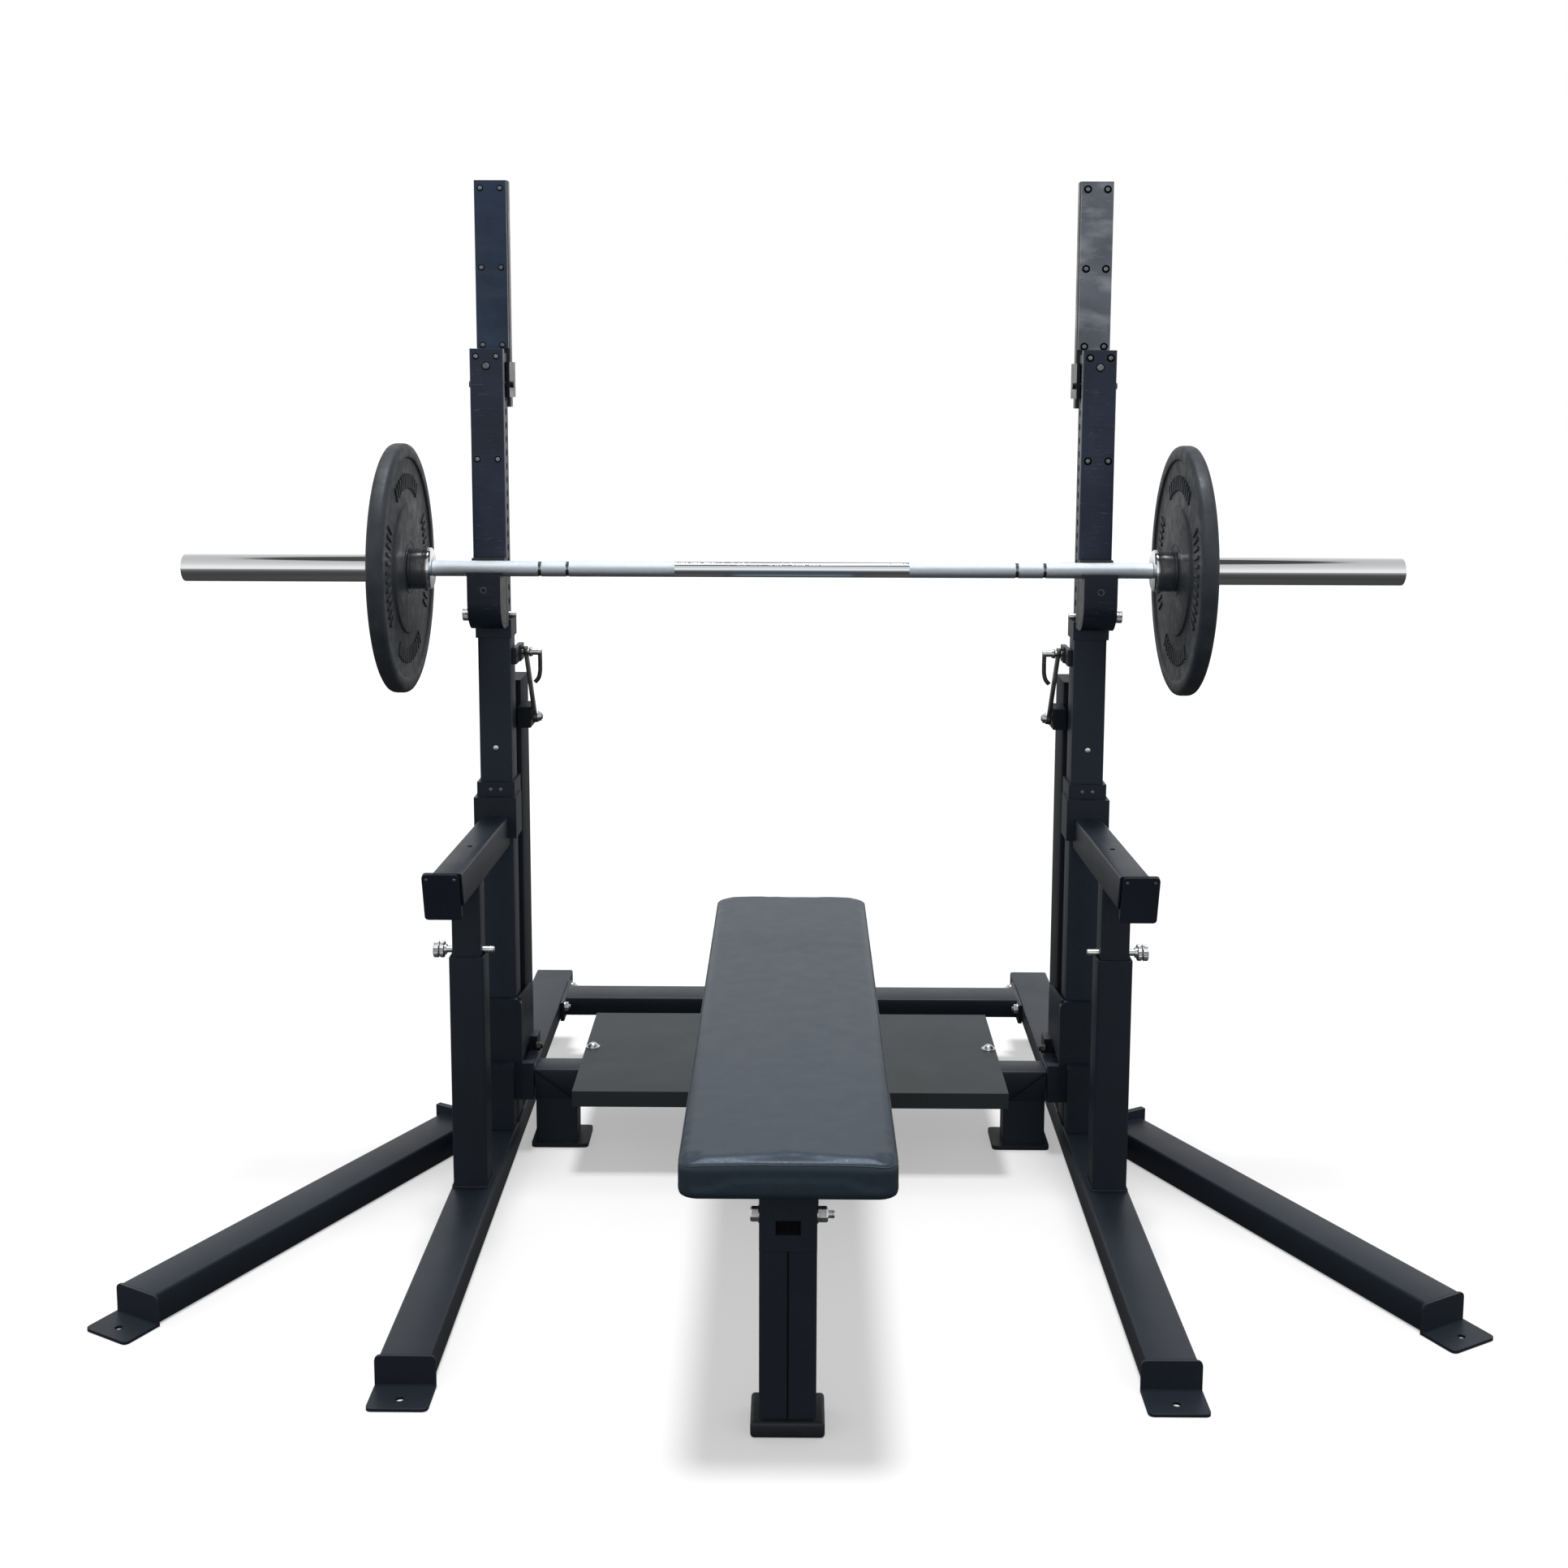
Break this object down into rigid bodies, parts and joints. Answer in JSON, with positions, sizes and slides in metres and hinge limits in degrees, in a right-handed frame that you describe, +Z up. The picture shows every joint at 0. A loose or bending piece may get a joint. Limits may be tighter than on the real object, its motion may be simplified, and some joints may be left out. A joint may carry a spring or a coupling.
{
  "type": "olympic bench press",
  "caption": "Free-standing bench press rack with telescoping bar posts, spotter arms, padded flat bench, rear spotter step and a loaded barbell on its hooks.",
  "frame": {"origin": "on the floor, at the middle of the footprint's bounding box", "axes": "+Z up, +Y from the bench towards the spotter's step, +X across along the bar"},
  "size_m": [2.2, 1.616, 1.822],
  "materials": {
    "frame_paint": "satin black powder coat",
    "black_plastic": "satin moulded plastic",
    "bright_steel": "zinc-plated, lightly brushed",
    "chrome_steel": "bright plated, knurled on the grips",
    "cast_plate": "dark grey hammered coating",
    "pad_vinyl": "slate vinyl with fine grain",
    "board_paint": "black-painted plywood",
    "foot_rubber": "matt black rubber"
  },
  "bodies": {
    "frame": {"left_base_rail": "frame_paint", "left_rail_foot": "frame_paint", "left_outrigger": "frame_paint", "left_outrigger_foot": "frame_paint", "left_outer_upright": "frame_paint", "left_upright_collar": "frame_paint", "left_upright_bracket": "frame_paint", "left_rear_column": "frame_paint", "left_detent_lug": "frame_paint", "left_lock_link": "bright_steel", "left_front_post_outer": "frame_paint", "left_step_side_tube": "frame_paint", "right_base_rail": "frame_paint", "right_rail_foot": "frame_paint", "right_outrigger": "frame_paint", "right_outrigger_foot": "frame_paint", "right_outer_upright": "frame_paint", "right_upright_collar": "frame_paint", "right_upright_bracket": "frame_paint", "right_rear_column": "frame_paint", "right_detent_lug": "frame_paint", "right_lock_link": "bright_steel", "right_front_post_outer": "frame_paint", "right_step_side_tube": "frame_paint", "step_front_frame": "frame_paint", "step_rear_crossbar": "frame_paint", "step_plate": "frame_paint", "bench_pad": "pad_vinyl", "pad_board": "board_paint", "bench_spine": "frame_paint", "bench_front_leg": "frame_paint", "bench_rear_leg": "frame_paint", "bench_foot": "foot_rubber", "bench_bolt": "bright_steel"},
    "left_post": {"left_inner_post": "frame_paint", "left_hook_carrier": "frame_paint", "left_j_hook": "frame_paint", "left_hook_liner": "black_plastic", "left_post_extension": "frame_paint"},
    "left_hook_pin": {"left_hook_pin": "bright_steel"},
    "left_detent": {"left_detent_pin": "bright_steel"},
    "left_arm": {"left_spotter_arm": "frame_paint", "left_front_post_inner": "frame_paint"},
    "left_front_pin": {"left_front_pin": "bright_steel"},
    "right_post": {"right_inner_post": "frame_paint", "right_hook_carrier": "frame_paint", "right_j_hook": "frame_paint", "right_hook_liner": "black_plastic", "right_post_extension": "frame_paint"},
    "right_hook_pin": {"right_hook_pin": "bright_steel"},
    "right_detent": {"right_detent_pin": "bright_steel"},
    "right_arm": {"right_spotter_arm": "frame_paint", "right_front_post_inner": "frame_paint"},
    "right_front_pin": {"right_front_pin": "bright_steel"},
    "barbell": {"barbell_shaft": "chrome_steel"},
    "left_sleeve_body": {"left_sleeve": "chrome_steel"},
    "left_plate_body": {"left_plate": "cast_plate"},
    "right_sleeve_body": {"right_sleeve": "chrome_steel"},
    "right_plate_body": {"right_plate": "cast_plate"}
  },
  "joints": [
    {"name": "left_post_slide", "type": "slide", "parent": "frame", "child": "left_post", "axis": [0, 0, 1], "range_m": [0, 0.15]},
    {"name": "left_hook_pin_pull", "type": "slide", "parent": "left_post", "child": "left_hook_pin", "axis": [-1, 0, 0], "range_m": [0, 0.074]},
    {"name": "left_arm_slide", "type": "slide", "parent": "frame", "child": "left_arm", "axis": [0, 0, 1], "range_m": [0, 0.15]},
    {"name": "left_front_pin_pull", "type": "slide", "parent": "left_arm", "child": "left_front_pin", "axis": [-1, 0, 0], "range_m": [0, 0.1]},
    {"name": "left_detent_pull", "type": "slide", "parent": "frame", "child": "left_detent", "axis": [1, 0, 0], "range_m": [0, 0.028], "stiffness_N_per_m": 300, "springref_m": -0.01},
    {"name": "right_post_slide", "type": "slide", "parent": "frame", "child": "right_post", "axis": [0, 0, 1], "range_m": [0, 0.15]},
    {"name": "right_hook_pin_pull", "type": "slide", "parent": "right_post", "child": "right_hook_pin", "axis": [1, 0, 0], "range_m": [0, 0.074]},
    {"name": "right_arm_slide", "type": "slide", "parent": "frame", "child": "right_arm", "axis": [0, 0, 1], "range_m": [0, 0.15]},
    {"name": "right_front_pin_pull", "type": "slide", "parent": "right_arm", "child": "right_front_pin", "axis": [1, 0, 0], "range_m": [0, 0.1]},
    {"name": "right_detent_pull", "type": "slide", "parent": "frame", "child": "right_detent", "axis": [-1, 0, 0], "range_m": [0, 0.028], "stiffness_N_per_m": 300, "springref_m": -0.01},
    {"name": "bar_lift", "type": "slide", "parent": "left_post", "child": "barbell", "axis": [0, 0, 1], "range_m": [0, 0.3]},
    {"name": "left_sleeve_spin", "type": "hinge", "parent": "barbell", "child": "left_sleeve_body", "pos_m": [-0.875, 0.156, 1.123], "axis": [1, 0, 0], "continuous": true},
    {"name": "left_plate_slide", "type": "slide", "parent": "left_sleeve_body", "child": "left_plate_body", "axis": [-1, 0, 0], "range_m": [0, 0.35]},
    {"name": "right_sleeve_spin", "type": "hinge", "parent": "barbell", "child": "right_sleeve_body", "pos_m": [0.875, 0.156, 1.123], "axis": [1, 0, 0], "continuous": true},
    {"name": "right_plate_slide", "type": "slide", "parent": "right_sleeve_body", "child": "right_plate_body", "axis": [1, 0, 0], "range_m": [0, 0.35]}
  ],
  "couplings": [
    {"joint": "right_post_slide", "follows": "left_post_slide", "ratio": 1}
  ]
}
